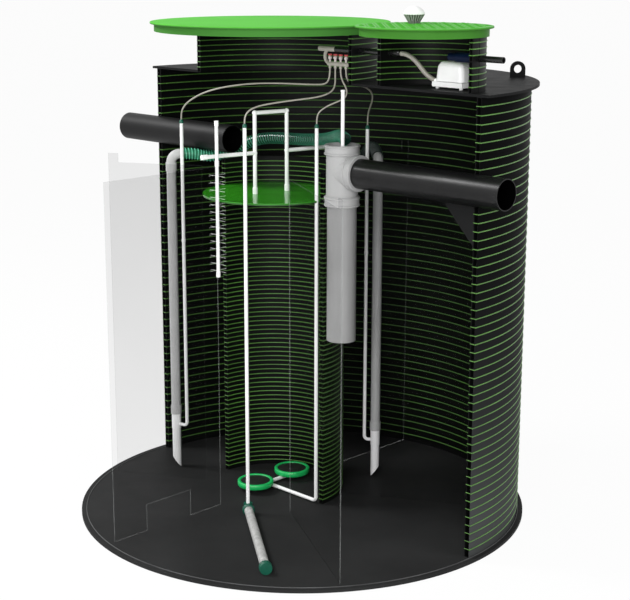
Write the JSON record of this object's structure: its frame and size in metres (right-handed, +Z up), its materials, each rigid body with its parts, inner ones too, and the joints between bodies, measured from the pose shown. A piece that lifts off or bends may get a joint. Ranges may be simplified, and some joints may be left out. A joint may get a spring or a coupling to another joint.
{
  "type": "packaged sewage treatment plant, cutaway",
  "caption": "Round sewage treatment tank shown as a cutaway, with a wound wall, lidded necks, drain pipes, radial chambers, airlifts, diffusers and an air blower.",
  "frame": {"origin": "centre of the base plate's underside", "axes": "+Z up, X along the cut plane from the inlet to the outlet, +Y into the standing half"},
  "size_m": [2.908, 2.5389, 2.83],
  "materials": {
    "black_wall": "satin black with a wound seam",
    "dark_plate": "satin",
    "green_lid": "bright satin green",
    "green_cover": "glossy dark green",
    "vent_plastic": "satin",
    "black_pipe": "semi-gloss",
    "grey_pipe": "semi-gloss",
    "white_pipe": "semi-gloss",
    "green_fitting": "satin",
    "grey_membrane": "matt",
    "clear_panel": "clear",
    "white_housing": "semi-gloss",
    "blue_plug": "satin",
    "pale_manifold": "semi-gloss",
    "red_handle": "semi-gloss",
    "pale_hose": "satin",
    "green_hose": "clear with a green spiral",
    "dark_hose": "satin with a spiral"
  },
  "bodies": {
    "plant": {"tank_wall_1": "black_wall", "tank_wall_2": "black_wall", "tank_wall_3": "black_wall", "tank_wall_4": "black_wall", "tank_wall_5": "black_wall", "tank_wall_6": "black_wall", "column_wall_1": "black_wall", "column_wall_2": "black_wall", "column_wall_3": "black_wall", "large_neck": "black_wall", "small_neck": "black_wall", "base_plate": "dark_plate", "top_plate": "dark_plate", "lifting_eyes": "dark_plate", "outlet_gusset": "dark_plate", "large_lid": "green_lid", "small_lid": "green_lid", "column_cover": "green_cover", "vent_cowl": "vent_plastic", "inlet_pipe": "black_pipe", "outlet_pipe": "black_pipe", "cable_duct": "black_pipe", "outlet_tee": "grey_pipe", "drop_pipe": "grey_pipe", "airlift_risers": "grey_pipe", "tee_air_pipe": "white_pipe", "airlift_feet": "white_pipe", "air_pipes": "white_pipe", "diffuser_feed": "white_pipe", "siphon_pipe": "white_pipe", "pegged_pipe": "white_pipe", "air_fittings": "green_fitting", "diffuser_ends": "green_fitting", "disc_diffusers": "green_fitting", "tube_diffuser": "grey_membrane", "partition_panels": "clear_panel", "blower": "white_housing", "valve_bodies": "white_housing", "power_plug": "blue_plug", "air_manifold": "pale_manifold", "air_hose_1": "pale_hose", "air_hose_2": "pale_hose", "air_hose_3": "pale_hose", "air_hose_4": "pale_hose", "blower_hose": "pale_hose", "return_hose": "green_hose", "spill_hose": "dark_hose"},
    "handle_1": {"valve_handle_1": "red_handle"},
    "handle_2": {"valve_handle_2": "red_handle"},
    "handle_3": {"valve_handle_3": "red_handle"},
    "handle_4": {"valve_handle_4": "red_handle"}
  },
  "joints": [
    {"name": "valve_1_turn", "type": "hinge", "parent": "plant", "child": "handle_1", "pos_m": [0.146, 0.066, 2.56], "axis": [0, 0, 1], "range_deg": [0, 90]},
    {"name": "valve_2_turn", "type": "hinge", "parent": "plant", "child": "handle_2", "pos_m": [0.1855, 0.066, 2.56], "axis": [0, 0, 1], "range_deg": [0, 90]},
    {"name": "valve_3_turn", "type": "hinge", "parent": "plant", "child": "handle_3", "pos_m": [0.225, 0.066, 2.56], "axis": [0, 0, 1], "range_deg": [0, 90]},
    {"name": "valve_4_turn", "type": "hinge", "parent": "plant", "child": "handle_4", "pos_m": [0.2645, 0.066, 2.56], "axis": [0, 0, 1], "range_deg": [0, 90]}
  ]
}
